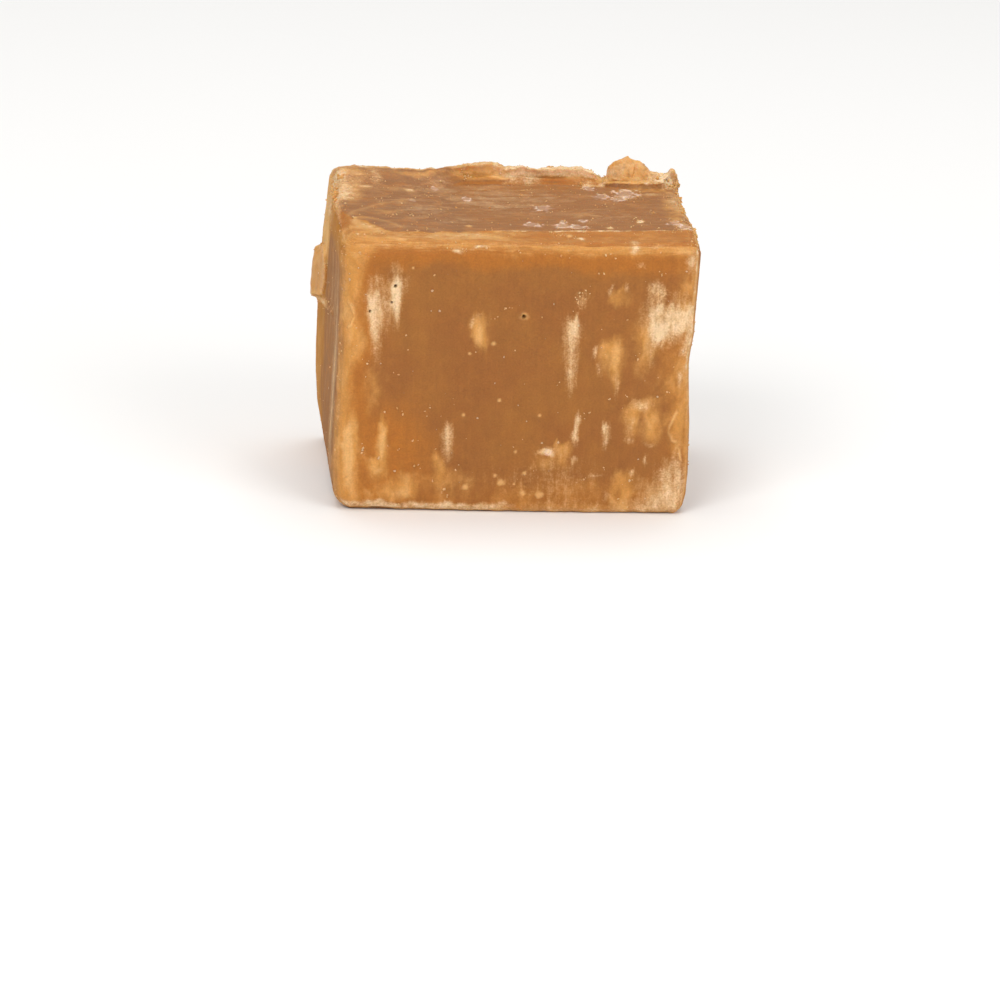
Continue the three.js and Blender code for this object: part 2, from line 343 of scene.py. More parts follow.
        ("torn", "back"): [(-7, 0.4, 4.5, 0.6, 0.9), (4.5, 0.3, 5, 0.5, 0.8), (12.6, 8, 0.4, 4, 0.6)],
        # painted sheen: a greyish haze of light reflected off the dull top and sides
        ("veil", "top"): [
            (0, 3.2, 3.4, 4, 0.95), (3.7, 4.4, 2.5, 2, 0.6), (8, -1, 4, 2.5, 0.4), (-6, 0.1, 3, 2.6, 0.55),
            (-3, -3.5, 3.5, 1.6, 0.4), (-3.5, 6.5, 4, 1.6, 0.5),
        ],
        ("veil", "left"): [(-6.8, 8.5, 1.8, 9, 1.1), (-4, 15, 3.5, 3.5, 0.55)],
        ("veil", "right"): [(0, 12, 6, 6, 0.5)],
    },
    # round marks: (across, up, radius)
    "rounds": {
        # bubbles that have filled again
        ("spot", "front"): [
            (-0.05, 2.35, 0.3), (0.94, 2.25, 0.12), (-0.48, 2.92, 0.15), (-0.34, 8.67, 0.13),
            (-2.94, 7.53, 0.15), (-0.89, 13, 0.18), (-2.68, 1.99, 0.25), (1.59, 1.59, 0.21),
            (2.9, 1.47, 0.27), (0.97, 4.74, 0.15), (2.68, 7.56, 0.14), (-2.6, 12.2, 0.12),
            (1.7, 3.1, 0.16), (-6.9, 18.6, 0.1),
        ],
        ("spot", "top"): [
            (5.45, -7.97, 0.32), (4.66, -7.4, 0.25), (7.82, -5.41, 0.26), (-2.6, -5.02, 0.26),
            (11.42, -0.49, 0.16), (10.2, -3.13, 0.28), (1.85, 5.3, 0.16), (-11, -3.3, 0.15),
        ],
        # open bubbles
        ("pit", "front"): [(1.3, 15, 0.17), (-8.16, 17.21, 0.13), (-9.99, 15.28, 0.1), (-8.42, 16, 0.07)],
        # burst bubbles with a pale pink rim, partly a painted highlight
        ("ring", "front"): [(3.35, 4.75, 0.2)],
        ("ring", "top"): [
            (3.28, 1.2, 0.58), (2.08, -4.26, 0.6), (4.35, -4.5, 0.55), (5.45, -4.95, 0.5),
            (5.98, -2.9, 0.26), (4.5, -3.3, 0.3), (7.9, 4.6, 0.5), (9.8, 5.5, 0.85), (9.2, 3.67, 0.5),
            (12.8, -3.5, 0.5), (13.4, -4.8, 0.45), (-2.35, 3.54, 0.35), (-4.55, 6.3, 0.3), (7.1, 7.2, 0.4),
            (-6.5, 2.6, 0.22),
        ],
    },
    # thin pale ridges where the setting fudge wrinkled
    "lines": {
        "front": [
            [
                (12.89, 7.92), (12.65, 7.48), (12.36, 6.89), (12.23, 6.4), (12.67, 5.76), (13.11, 5.13),
                (13.25, 4.26),
            ],
            [
                (-11.74, 15.89), (-11.5, 15.78), (-11.29, 15.55), (-11.16, 15.22), (-11.13, 14.88),
                (-11.2, 14.55), (-11.35, 14.27), (-11.6, 14.05),
            ],
        ],
        "top": [
            [(-11.2, -2.6), (-10.87, -1.6), (-10, -0.4), (-9.1, 0.8), (-8.2, 1.75), (-6.4, 2.6)],
            [(-11.3, 5.2), (-10.3, 5.5), (-9, 5), (-7.5, 5.7), (-6.8, 5.8), (-6.1, 5.1)],
            [(-9.6, -3.4), (-8.4, -4.6), (-7.4, -6.2)],
            [(5.6, -1.6), (6.3, -0.9), (7, -1.4)],
            [(8.8, 6.1), (10.2, 6.6), (11.8, 6.4)],
        ],
    },
}
lineLooks = {"front": (0.1, 0.9), "top": (0.26, 0.3)}  # half width in mm, strength

dice = np.random.default_rng(41)
# the back is full of small filled bubbles, each in a golden patch
for count, smallest, more in ((26, 0.12, 0.2), (9, 0.35, 0.3)):
    for a, b, r in dice.random((count, 3)):
        spot = (-10.5 + 22 * a, 2.2 + 16.5 * b, smallest + more * r * r)
        marks["rounds"].setdefault(("spot", "back"), []).append(spot)
        marks["clouds"]["gold", "back"].append((*spot[:2], 2.4 * spot[2], 2.6 * spot[2], 0.75))
for side, count in (("right", 22), ("left", 8)):  # short upright pecks on the dull sides
    for a, b, c, d in dice.random((count, 4)):
        peck = (-8 + 16 * a, 3 + 15.5 * b, 0.1 + 0.12 * c, 0.25 + 0.5 * d, 0.9)
        marks["clouds"]["cream", side].append(peck)


def boxSkin(counts):
    # the outside points of a box lattice from -1 to 1, and the quads between them, edges shared
    index = np.indices(counts + 1)
    outside = ((index == 0) | (index == counts[:, None, None, None])).any(axis=0)
    ids = np.cumsum(outside).reshape(outside.shape) - 1
    points = np.stack([index[axis][outside] / counts[axis] * 2 - 1 for axis in range(3)], axis=1)
    sides = [ids[:, 0, :], ids[::-1, -1, :], ids[:, :, 0].T, ids[:, :, -1], ids[0].T, ids[-1]]
    near, far = slice(None, -1), slice(1, None)
    corners = [(near, near), (far, near), (far, far), (near, far)]
    quads = [np.stack([side[corner] for corner in corners], axis=-1).reshape(-1, 4) for side in sides]
    return points, np.concatenate(quads).tolist()


def faceCentres(points, faces):
    return np.array([points[face].mean(axis=0) for face in faces])


def divide(points, faces, chosen):
    # halves the edges of the chosen faces; the new points still lie on the square block
    skin = bmesh.new()
    verts = [skin.verts.new(p) for p in points]
    for face, wanted in zip(faces, chosen):
        skin.faces.new([verts[i] for i in face]).tag = bool(wanted)
    edges = [edge for edge in skin.edges if any(face.tag for face in edge.link_faces)]
    bmesh.ops.subdivide_edges(skin, edges=edges, cuts=1, use_grid_fill=True)
    bmesh.ops.triangulate(skin, faces=[face for face in skin.faces if len(face.verts) > 4])
    skin.verts.index_update()
    points = np.array([vert.co for vert in skin.verts])
    faces = [[vert.index for vert in face.verts] for face in skin.faces]
    skin.free()
    return points, faces


def pairs(line):
    return zip(line[:-1], line[1:])


def onSide(side, a, b):
    # the point of the square block at these two places along one of its sides
    point = middle + half * (1 if side in ("right", "back", "top") else -1)
    point[list(sideAxes[side])] = a, b
    return point


def fineSpots():
    # places whose skin is divided once more: (point on the square block, reach)
    spots = []
    reaches = {"spot": 1.3, "pit": 3.0, "ring": 1.25}
    for (kind, side), places in marks["rounds"].items():
        for a, b, radius in places:
            spots.append((onSide(side, a, b), reaches[kind] * radius * (1.3 if side == "top" else 1) + 0.1))
    for line in marks["lines"]["front"]:
        for (x0, z0), (x1, z1) in pairs(line):
            for t in (0, 0.33, 0.67):
                spots.append((onSide("front", x0 + t * (x1 - x0), z0 + t * (z1 - z0)), 0.25))
    for x in np.arange(-2.0, 13.6, 0.4):  # the steep part of the crest, and the step under the crumb
        spots.append((onSide("top", x, half[1] - 0.9), 0.9))
        spots.append((onSide("top", x, half[1] - 1.6 - along("stepForward", x)), 0.45))
    for line in (block["flap"], block["flapStrip"]):
        for (y0, z0), (y1, z1) in pairs(line):
            for t in np.arange(0, 1, 0.3 / math.hypot(y1 - y0, z1 - z0)):
                spots.append((onSide("left", y0 + t * (y1 - y0), z0 + t * (z1 - z0)), 0.5))
    return spots


def nearSpots(centres, spots):
    chosen = np.zeros(len(centres), bool)
    for place, reach in spots:
        chosen |= np.linalg.norm(centres - place, axis=1) < reach
    return chosen


def measureSides(q):
    # how much each point belongs to each side of the square block, and how far it is from each side
    gaps = np.concatenate([q - (middle - half), middle + half - q], axis=1)
    names = ["left", "front", "foot", "right", "back", "top"]
    sides = {name: ease(0.5, 0, gaps[:, i]) for i, name in enumerate(names)}
    gap = {name: gaps[:, i] for i, name in enumerate(names)}
    return sides, gap, np.sort(gaps, axis=1)[:, 1]


def insideLine(a, b, line):
    inside = np.zeros(len(a), bool)
    for (x0, y0), (x1, y1) in pairs(line):
        if y0 != y1:
            inside ^= ((y0 > b) != (y1 > b)) & (a < x0 + (b - y0) * (x1 - x0) / (y1 - y0))
    return inside


def lineDistance(a, b, line):
    best = np.full(len(a), 99.0)
    for (x0, y0), (x1, y1) in pairs(line):
        dx, dy = x1 - x0, y1 - y0
        t = np.clip(((a - x0) * dx + (b - y0) * dy) / (dx * dx + dy * dy), 0, 1)
        best = np.minimum(best, np.hypot(a - x0 - t * dx, b - y0 - t * dy))
    return best


def along(profile, at):
    return np.interp(at, *zip(*block[profile]))


def roundOff(q):
    # from the square block to the hand-cut block, with the way that its surface faces
    p = q - middle
    near = np.clip(p / half, -1, 1)
    left, front, _ = np.clip(-near.T, 0, 1)
    right, back, top = np.clip(near.T, 0, 1)
    cut = block["cutRadius"]
    radius = cut + (block["frontTopRadius"] - cut) * front * top
    radius += (block["frontLeftRadius"] - cut) * front * left
    radius += (block["crestRadius"] - cut) * back**8 * top**8
    core = half - radius[:, None]
    foot = np.clip(p, -core, core)
    facing = p - foot
    facing /= np.linalg.norm(facing, axis=1)[:, None]
    p = foot + facing * radius[:, None]
    belly = 1 - 0.75 * (p[:, 2] / half[2]) ** 2
    p[:, 0] -= block["leftFlare"] * left * belly * (p[:, 1] + half[1]) / (2 * half[1])
    p[:, 0] -= left * along("leftSway", q[:, 2])
    p[:, 0] += right**2 * front * along("rightSway", q[:, 2])
    p[:, 0] += right**2 * block["rightBulge"] * bell(q[:, 1] + 3, 4.5) * ease(15, 20, q[:, 2])
    p[:, 0] += right**2 * back * block["backRightLean"] * ease(8, 20, q[:, 2])
    p[:, 2] -= block["topDip"] * top * bell(p[:, 0] / half[0], 0.6) * bell(p[:, 1] / half[1], 0.6)
    rolled = ease(0.8, -2.2, q[:, 1] - most(along("skinEdge", q[:, 0]), -7.6))
    p[:, 2] -= along("rollDrop", q[:, 0]) * top**6 * rolled
    return p + middle, facing


def layMarks(p, sides):
    # every soft, drawn and round mark, as one value per point; where they overlap, they add up to a limit
    laid = {}
    drift = np.stack([lumps(p, 0.8, 31, 2), lumps(p, 1.3, 32, 2)]) * [[0.25], [0.4]]
    strands = 0.5 * lumps(p, (0.3, 0.3, 2.4), 34, 2)

    def lay(kind, side, value):
        already = laid.setdefault(kind, np.zeros(len(p)))
        added = sides[side] * value
        laid[kind] = most(already, added) + 0.3 * np.minimum(already, added)

    for (kind, side), places in marks["clouds"].items():
        a, b = [p[:, axis] + move for axis, move in zip(sideAxes[side], drift)]
        for x, y, wide, tall, strength in places:
            lay(kind, side, strength * bell(a - x, wide) * bell(b - y, tall))
    for (kind, side), places in marks["strokes"].items():
        a, b = [p[:, axis] + move for axis, move in zip(sideAxes[side], (0.6 * drift[0], strands))]
        for x, y, tailX, tailY, wide, tailWide, strength in places:
            run = (y - b) / (y - tailY)
            width = wide + (tailWide - wide) * np.clip(run, 0, 1)
            across = np.exp(-np.abs((a - x - (tailX - x) * run) / width) ** 2.5)
            lay(kind, side, strength * across * ease(-0.15, 0.2, run) * ease(1.15, 0.45, run))
    uneven, broken = 1 + 0.55 * lumps(p, 0.3, 33, 2), ease(-0.4, 0.3, lumps(p, 0.35, 35))
    for (kind, side), places in marks["rounds"].items():
        a, b = [p[:, axis] for axis in sideAxes[side]]
        drawnOut = 1.5 if side == "top" else 1
        for x, y, radius in places:
            away = np.hypot(a - x, (b - y) / drawnOut) / radius * uneven
            rim = most(1.15 * bell(away - 0.85, 0.22) * broken, 0.3 * ease(1.0, 0.7, away))
            lay(kind, side, rim if kind == "ring" else ease(1.3, 0.4, away))
    mottled = 1 + 0.6 * lumps(p, (0.6, 0.6, 1.1), 45, 3)
    return laid | {kind: laid[kind] * mottled for kind in ("gold", "pale")}


def skinBlock():
    # points on the square block, closer together where the detail is fine, and the faces between them
    t, faces = boxSkin(np.ceil(2 * half / block["step"]).astype(int))
    q = middle + half * ((1 - block["crowding"]) * t + block["crowding"] * np.sin(t * math.pi / 2))
    centres = faceCentres(q, faces)
    spots = fineSpots()
    nearRims = np.minimum(centres[:, 1] + half[1], 2 * half[2] - centres[:, 2]) < block["fineReach"]
    onBackOrLeft = [spot for spot in spots if spot[0][1] > 9 or spot[0][0] < middle[0] - half[0] + 0.1]
    q, faces = divide(q, faces, nearRims | nearSpots(centres, onBackOrLeft))
    return divide(q, faces, nearSpots(faceCentres(q, faces), spots))


def findTorn(at):
    # where the fudge is torn and crumbly rather than cut, and the pale band along the front's foot, which is
    # partly painted light
    q, front = at.q, at.sides["front"]
    patchy = lumps(q, 2.2, 3, 2)
    hiddenRim = ease(0.9, 0.1, at.edge) * ease(-0.1, 0.5, patchy) * (1 - front)
    ragged = q[:, 2] + 0.2 * patchy + 0.25 * lumps(q, 0.6, 18)
    # the foot band is pale sugar, made paler still as painted light that stands in for light from below on
    # the rounded edge
    at.footRim = front * ease(1.05, 0.55, ragged) * ease(4.5, -3, q[:, 0] + 1.5 * patchy)
    at.torn = most(at.laid["torn"], 0.7 * hiddenRim, 0.2 * front * ease(0.6, 0.2, q[:, 2]))


def raiseCrest(at):
    # the crest is lifted out of the back of the top face, on the right in two steps
    p, q, gap, top = at.p, at.q, at.gap, at.sides["top"]
    x, flatX = q[:, 0], q * [1, 0, 0]
    rise = along("crest", x)
    rise = rise + (0.14 * lumps(q * [1, 0.3, 0], 0.7, 5, 3) - 0.02) * ease(0.05, 0.5, rise)
    slope = along("crestSlope", x)
    ledge = ease(7.9, 8.4, x) * ease(13.1, 12.5, x)
    behind = gap["back"] - along("stepForward", x) + 0.3 * (1 - 0.6 * ledge) * lumps(flatX, 2.6, 7, 2)
    steep = ease(4.5, 1.6, slope)
    lift = ease(slope, 0.95, behind) ** 1.5
    lift += steep * (0.4 * ease(1.75, 1.35, behind) + 0.6 * ease(1.1, 0.85, behind) - lift)
    lift += ledge * (ease(1.9, 1.5, behind) - lift)
    raised = rise * lift * ease(2.2, 0, gap["top"])
    p[:, 2] += raised
    p[:, 1] -= 0.25 * lift**4 * top * ease(0.2, 0.8, raised) * (1 + lumps(flatX, 1.2, 8))
    at.ledge, at.lift = ledge, lift
    at.tiered = ease(0, 2, x) * ease(8.4, 7.4, x)  # here the lower of the two steps is darker
    at.crest = top * most(steep * ease(0.1, 0.35, lift), ease(1.0, 0.4, gap["back"]))
    # painted shade: the foot of the crest under its overhang, and its lower step, are painted a darker
    # orange than the lit crest
    at.hollow = top * steep * most(bell(lift - 0.1, 0.1), 0.9 * at.tiered * bell(lift - 0.3, 0.15))
    # painted shade on the front face of the ledge under the crumb, carried by the dark of the pits
    at.underLedge = top * ledge * ease(0.02, 0.2, lift) * ease(1.0, 0.88, lift)
    at.strata = at.crest * lumps(p, (2.4, 0.7, 0.17), 41, 2)  # it tore in thin layers that lie along it


def pullBurr(at):
    # the burr is drawn out of the left face beside the back edge, and runs forward as a thin flap
    p, q, left = at.p, at.q, at.sides["left"]
    a, b = q[:, 1] + 0.25 * lumps(q, 0.9, 9, 2), q[:, 2] + 0.15 * lumps(q, 0.9, 10, 2)
    at.flapRim = lineDistance(a, b, block["flap"]) * np.where(insideLine(a, b, block["flap"]), 1, -1)
    at.burr = left * ease(-0.1, 0.15, at.flapRim) * ease(0.2, 0.5, at.gap["back"])
    outward = np.interp(q[:, 2], *zip(*block["burr"]), left=0, right=0)
    stands = np.clip(outward - (middle[0] - half[0] - p[:, 0]), 0, None) * ease(4.0, 8.6, q[:, 1])
    p[:, 0] -= at.burr * most(stands, 0.22) * (1 + 0.15 * lumps(q, 0.8, 9, 2))
    at.strip = left * bell(lineDistance(a, b, block["flapStrip"]), 0.3)


def findCracks(q, sides):
    # the thin ridges of the wrinkles, bent a little and broken here and there
    bends = 0.1 * np.stack([lumps(q, 0.4, 24), lumps(q, 0.4, 25)])
    crack = np.zeros(len(q))
    for side, lines in marks["lines"].items():
        a, b = [q[:, axis] + bend for axis, bend in zip(sideAxes[side], bends)]
        away = np.minimum.reduce([lineDistance(a, b, line) for line in lines])
        width, strength = lineLooks[side]
        crack = most(crack, strength * sides[side] * bell(away, width))
    return crack * ease(-1.1, -0.1, lumps(q, 0.5, 26))


def addRelief(at):
    # what stands out along the surface's own direction
    q, edge, torn, laid, crest = at.q, at.edge, at.torn, at.laid, at.crest
    front, top = at.sides["front"], at.sides["top"]
    upright = most(front, at.sides["back"], at.sides["left"], at.sides["right"])
    flatX = q * [1, 0, 0]
    heights = block["relief"]
    relief = block["wave"] * lumps(q, 7.0, 11, 2) * ease(0, 2.5, edge)
    relief += heights["cut"] * lumps(q, 1.8, 12, 3)
    relief += block["knifeDrag"] * upright * lumps(q, (0.7, 0.7, 9), 13, 2)
    relief += heights["topDrag"] * top * lumps(q, (5, 1.1, 1.1), 14, 3)
    relief += block["tornGrain"] * torn * (grains(q, 0.42, 15) + 0.5 * grains(q, 0.22, 16) - 0.35)
    relief -= block["chipped"] * (1 - front) * ease(0.9, 0, edge) * ease(0.15, 0.7, lumps(q, 1.7, 19, 2))
    relief += heights["rim"] * ease(1.2, 0.2, edge) * lumps(q, 0.8, 16, 3)
    relief += heights["cream"] * laid["cream"] * lumps(q, (0.3, 0.3, 1.2), 17, 2)
    relief += heights["lip"] * bell(at.lipGap, 0.25) * (1 + lumps(flatX, 1.1, 20, 2))
    broken = ease(-0.3, 0.4, lumps(flatX, 1.5, 21, 2))
    relief += heights["skinEdge"] * top * bell(at.skinEdge, 0.12) * broken
    marked = heights["wrinkle"] * at.crack + heights["strip"] * at.strip
    marked -= heights["pit"] * laid["pit"] * front
    relief += marked + heights["spot"] * laid["spot"] + heights["ring"] * laid["ring"]
    relief += heights["strata"] * at.strata + heights["crestGrain"] * crest * (grains(q, 0.4, 43) - 0.4)
    at.p += at.facing * relief[:, None]
    at.p[:, 2] = most(at.p[:, 2], 0)


def findRims(at):
    # where light gets into the rims and turns them golden, and where the cut face warms towards them:
    # painted glow, the light that gets through the fudge painted in its colour as well as given by
    # subsurface scattering
    q, gap, sides = at.q, at.gap, at.sides
    x, _, z = q.T
    front, left = sides["front"], sides["left"]
    wide = 1 + 0.3 * lumps(q, 2.4, 22, 2)
    inLeft = np.clip(2.8 * wide - gap["left"], 0, None)
    inTop = np.clip(1.4 - 1.8 * ((at.below + along("rimRise", x)) / wide - 1.0), 0, None)
    inside = 1.4 - np.hypot(inLeft, inTop)
    at.rimGlow = front * most(
        ease(1.0, -0.9, inside),
        0.8 * ease(0.75, 0.15, gap["right"] / wide) * ease(2.0, 5.0, z),
        0.7 * ease(1.1, 0.3, gap["foot"] / wide),
    )
    others = most(sides["back"], left, sides["right"], sides["foot"])
    otherRims = 0.85 * others * ease(1.1, 0, at.edge / wide)
    at.otherRims = most(otherRims, 0.7 * left * ease(1.7, 0.5, gap["front"]))
    at.warm = front * most(
        0.9 * ease(3.0, 1.3, at.below / wide),
        ease(4.6, 1.2, gap["left"] / wide),
        0.9 * ease(10.5, 3.0, gap["left"] / wide) * ease(12, 5, z),
        0.5 * ease(3.5, 0.5, gap["right"] / wide),
        0.5 * ease(4.0, 0.5, gap["foot"] / wide),
    )
    at.rightRim = front * ease(0.5, 0.05, gap["right"]) * ease(5, 9, z) * (0.6 + 0.8 * ease(9, 15, z))


def findLooks(at):
    # where the golden rims, the dull skin and the other marks lie, for the material
    q, laid, crest, lift, ledge = at.q, at.laid, at.crest, at.lift, at.ledge
    x, y, z = q.T
    top, left = at.sides["top"], at.sides["left"]
    roll = top * ease(0.25, -0.35, at.skinEdge + 0.35 * lumps(q, 0.9, 27, 2))
    deep = left * ease(0.5, 1.5, at.gap["front"])
    bare = most(crest, at.burr, roll, at.hollow)
    # the left face dried like the top too, but for its golden back
    dulled = left * ease(4.2, 0.4, y + 2 * lumps(q, (1, 1.8, 3.4), 46, 3)) * ease(19.6, 17.5, z)
    driedRight = at.sides["right"] * ease(0.3, 1.2, at.gap["front"])
    skin = most(top, driedRight, at.sides["foot"], dulled) * (1 - bare)
    sparkle = 0.6 + 0.9 * lumps(q, 0.4, 28, 2)
    toLeft = ease(2.5, -2.5, x)  # the roll is paler there, but for its ochre corner
    ochre = ease(-10.7, -11.4, x) * ease(1.2, -0.2, y) * ease(-6.2, -4.4, y)
    blotched = 0.65 + 0.7 * ease(-0.4, 0.4, lumps(q, (1.5, 0.8, 0.8), 42, 2))
    rollEdge = 1.1 * bell(at.skinEdge, 0.15) * ease(-1, 1, x)
    rollEdge = top * (rollEdge + 0.6 * bell(at.skinEdge + 0.9, 0.7) * toLeft)
    # painted highlight along the front's upper lip
    paintedLipGleam = bell(at.lipGap, 0.3) * (0.1 + 0.4 * ease(-0.2, 0.4, lumps(q * [1, 0, 0], 1.6, 29, 2)))
    # painted glow: the crest turns golden and pale where light gets through its thin top, less on its lower
    # step and on the ledge
    crestLit = crest * ease(0.05, 0.22, lift - 0.35 * at.tiered - 0.72 * ledge)
    crestTop = crest * ease(0.5, 0.88, lift + 0.3 * at.strata)
    cream = most(
        laid["cream"], paintedLipGleam * sparkle, rollEdge * sparkle * blotched, at.rightRim * sparkle,
        0.95 * at.footRim * (0.7 + 0.5 * sparkle), 0.3 * at.otherRims * sparkle, 0.75 * at.strip,
        crestTop * sparkle * (1 - 0.85 * ledge * ease(11.5, 10.9, x)),
        crest * at.tiered * ease(0.42, 0.55, lift) * (0.7 + 0.3 * blotched),
    )
    gold = most(
        laid["gold"], at.rimGlow, at.otherRims, 0.95 * crestLit, 1.1 * at.burr, at.strip,
        (0.3 + 0.4 * toLeft * blotched) * roll, (0.2 + 0.35 * toLeft) * bell(at.lipGap, 0.6),
    )
    pale = most(
        laid["pale"], 0.6 * at.rightRim, 0.7 * at.burr * ease(0.9, 0.1, at.flapRim),
        0.55 * blotched * toLeft * roll * bell(at.skinEdge + 1.3, 1.1),
        (1.1 - 0.65 * ledge) * crestLit * ease(0.3, 0.6, lift + 0.5 * at.strata),
    )
    gold, pale, cream = gold * (1 - 0.85 * ochre), pale * (1 - ochre), cream * (1 - 0.7 * ochre)
    return {
        "gold": gold, "pale": pale, "cream": cream, "torn": at.torn, "skin": skin,
        "warm": most(at.warm, at.hollow, roll),
        "up": np.clip(at.facing[:, 2], 0, 1) ** 2, "spot": laid["spot"], "ring": laid["ring"],
        # the dark pits, with painted shade on the ledge's face and darker grooves between the crest's layers
        "pit": most(laid["pit"], 0.36 * at.underLedge, 0.14 * crest * ease(0.1, -0.4, at.strata)),
        "crack": at.crack, "veil": laid["veil"] * (1 - bare), "deep": deep * (1 - bare),
    }


def makeBlock(material):
    q, faces = skinBlock()
    at = SimpleNamespace(q=q)  # all that is known at each point of the skin
    at.sides, at.gap, at.edge = measureSides(q)
    at.p, at.facing = roundOff(q)
    at.laid = layMarks(at.p, at.sides)
    at.below = block["height"] - at.p[:, 2]  # the front's upper rim runs lower than the square block's
    at.skinEdge = q[:, 1] - along("skinEdge", q[:, 0])
    at.lipGap = np.abs(at.gap["top"] - along("lip", q[:, 0])) + at.gap["front"]
    at.crack = findCracks(q, at.sides)
    for step in (findTorn, raiseCrest, pullBurr, addRelief, findRims):
        step(at)
    values = findLooks(at)
    piece = makePiece("fudge_block", at.p, faces, material, values)
    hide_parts("fudge_cube")
    return at.p, at.facing, values, at.sides


fudgeLooks = {
    "brown": "#985E27",  # the cut face away from its rims
    "amber": "#9E6529",  # slow drift of the same
    # orange nearer the rims is painted glow of light through the fudge's edges; it also tints the ochre
    # mottle of the skin
    "orange": "#AE6A22",  # nearer the rims
    # gold: the fudge's golden patches, and the painted glow of its rims and crest
    "gold": "#CE9146",
    "paleGold": "#DFAB6A",
    # bloom and cream follow the cream mark, which also carries the painted highlights on the front's lip and
    # the left face, and the painted light on the foot
    "bloom": "#CB9B65",  # a thin haze of sugar
    "cream": "#EBCDA4",  # the same where it lies thick
    "rose": "#D8AA78",
    "deep": "#AF7228",  # the side that stays golden
    "skin": "#936237",  # top and sides, which dried before the slab was cut
    "skinStreak": "#AC794A",
    # painted sheen: the grey of light reflected off the dull top and sides
    "sheenGrey": "#BB966D",
    # the rims of the burst bubbles: partly their own colour, partly a painted highlight
    "pink": "#E8C8B2",
    # painted shade in the gaps between the crumbs of torn places
    "creviceShade": "#B87C43",
    # dark: open pits, and painted shade on the ledge's face and round the specks
    "dark": "#5E3514",
    # mm, sizes along x, y and z of what was drawn out by the knife: on the sides, and on the top
    "directions": {
        "fibre": ((0.15, 0.15, 1.5), (0.75, 0.15, 0.15)),  # drag lines
        "cloud": ((0.75, 0.75, 1.5), (1.2, 0.75, 0.75)),
        "broad": ((0.8, 0.8, 6), (3.2, 1.1, 1.1)),
    },
    # mm, patterns that run no particular way
    "crystal": 0.13,  # sugar grit, drawn about twice its real size so that it shows
    "fine": 0.3,
    "mottle": 1.1,
    "drift": 4.5,
    "crumb": 0.3,
    "speckCell": 0.6,  # one cell in seven of this size holds a speck
    "speckSize": 0.2,
    "speckBend": 0.2,  # makes their outlines uneven
    "roughness": 0.45,
    "dryRoughness": 0.85,
}


def addPatterns(tree, inMm, up):
    # the noises, along the knife's direction where they were drawn out by it: upright on the sides and
    # along x on the top
    looks = fudgeLooks
    directions = {"plain": inMm}
    for name, sizes in looks["directions"].items():
        links = {0: up}
        for socket, size in zip((4, 5), sizes):
            scales = {0: inMm, 1: [1 / s for s in size]}
            links[socket] = addNode(tree, "VectorMath", scales, operation="MULTIPLY")
        directions[name] = addNode(tree, "Mix", links, out=1, data_type="VECTOR")
    noises = {}
    for name, direction, scale, detail, distortion in (
        ("fibre", "fibre", 0.6, 3, 0), ("broad", "broad", 1, 5, 1.2), ("cloud", "cloud", 0.8, 4, 0.6),
        ("grit", "plain", 1 / looks["crystal"], 2, 0), ("fine", "plain", 1 / looks["fine"], 2, 0),
        ("mottle", "plain", 1 / looks["mottle"], 5, 0.8), ("drift", "plain", 1 / looks["drift"], 3, 0),
    ):
        links = {"Vector": directions[direction], "Scale": scale, "Detail": detail, "Distortion": distortion}
        noises[name] = addNode(tree, "TexNoise", links)
    links = {"Vector": inMm, "Scale": 1 / looks["crumb"]}
    noises["crumb"] = addNode(tree, "TexVoronoi", links, feature="F1")
    return noises


def tearMarks(tree, held, noises):
    # the soft edge of each mark is torn by noises:
    # (mask, mark, {noise: how much}, where it starts and is full)
    masks = {name: held[name] for name in ("pit", "spot", "ring", "crack", "deep")}
    for name, mark, tears, start, full in (
        ("gold", "gold", {"cloud": 0.8, "mottle": 0.4, "fine": 0.3}, 0.05, 1.1),
        ("pale", "pale", {"cloud": 0.9, "fine": 0.4}, 0.15, 1.1),
        ("bloom", "cream", {"fibre": 0.7, "fine": 0.5, "grit": 0.5, "cloud": 0.4}, 0.08, 0.85),
        ("cream", "cream", {"fibre": 0.55, "grit": 0.6, "fine": 0.6, "cloud": 0.9}, 0.45, 1.3),
        ("torn", "torn", {"mottle": 0.6, "grit": 0.8}, 0.2, 0.9),
        ("skin", "skin", {"mottle": 0.7, "fine": 0.4}, 0.1, 0.9),
        ("warm", "warm", {"drift": 0.8, "cloud": 0.5}, 0.05, 1.0),
        ("veil", "veil", {"broad": 1.3, "mottle": 0.9, "grit": 0.7, "fine": 0.7}, 0.1, 1.25),
    ):
        value = held[mark]
        for noise, much in tears.items():
            centred = addNode(tree, "Math", {0: noises[noise], 1: 0.5}, operation="SUBTRACT")
            value = addNode(tree, "Math", {0: centred, 1: much, 2: value}, operation="MULTIPLY_ADD")
        mask = addNode(tree, "MapRange", {0: value, 1: start, 2: full}, interpolation_type="SMOOTHSTEP")
        present = addNode(tree, "MapRange", {0: held[mark], 1: 0.02, 2: 0.2})
        masks[name] = addNode(tree, "Math", {0: mask, 1: present}, operation="MULTIPLY")
    # noises as masks of their own, where one of the marks is: (name, noise, its start and full, mark)
    for name, noise, start, full, mark in (
        ("slow", "drift", 0.35, 0.7, None), ("streak", "broad", 0.45, 0.75, "skin"),
        ("gleam", "cloud", 0.42, 0.75, "gold"), ("creviceShade", "crumb", 0.4, 0.75, "torn"),
        ("ochre", "mottle", 0.45, 0.7, "skin"),
    ):
        links = {0: noises[noise], 1: start, 2: full}
        masks[name] = addNode(tree, "MapRange", links, interpolation_type="SMOOTHSTEP")
        if mark:
            masks[name] = addNode(tree, "Math", {0: masks[name], 1: masks[mark]}, operation="MULTIPLY")
    return masks


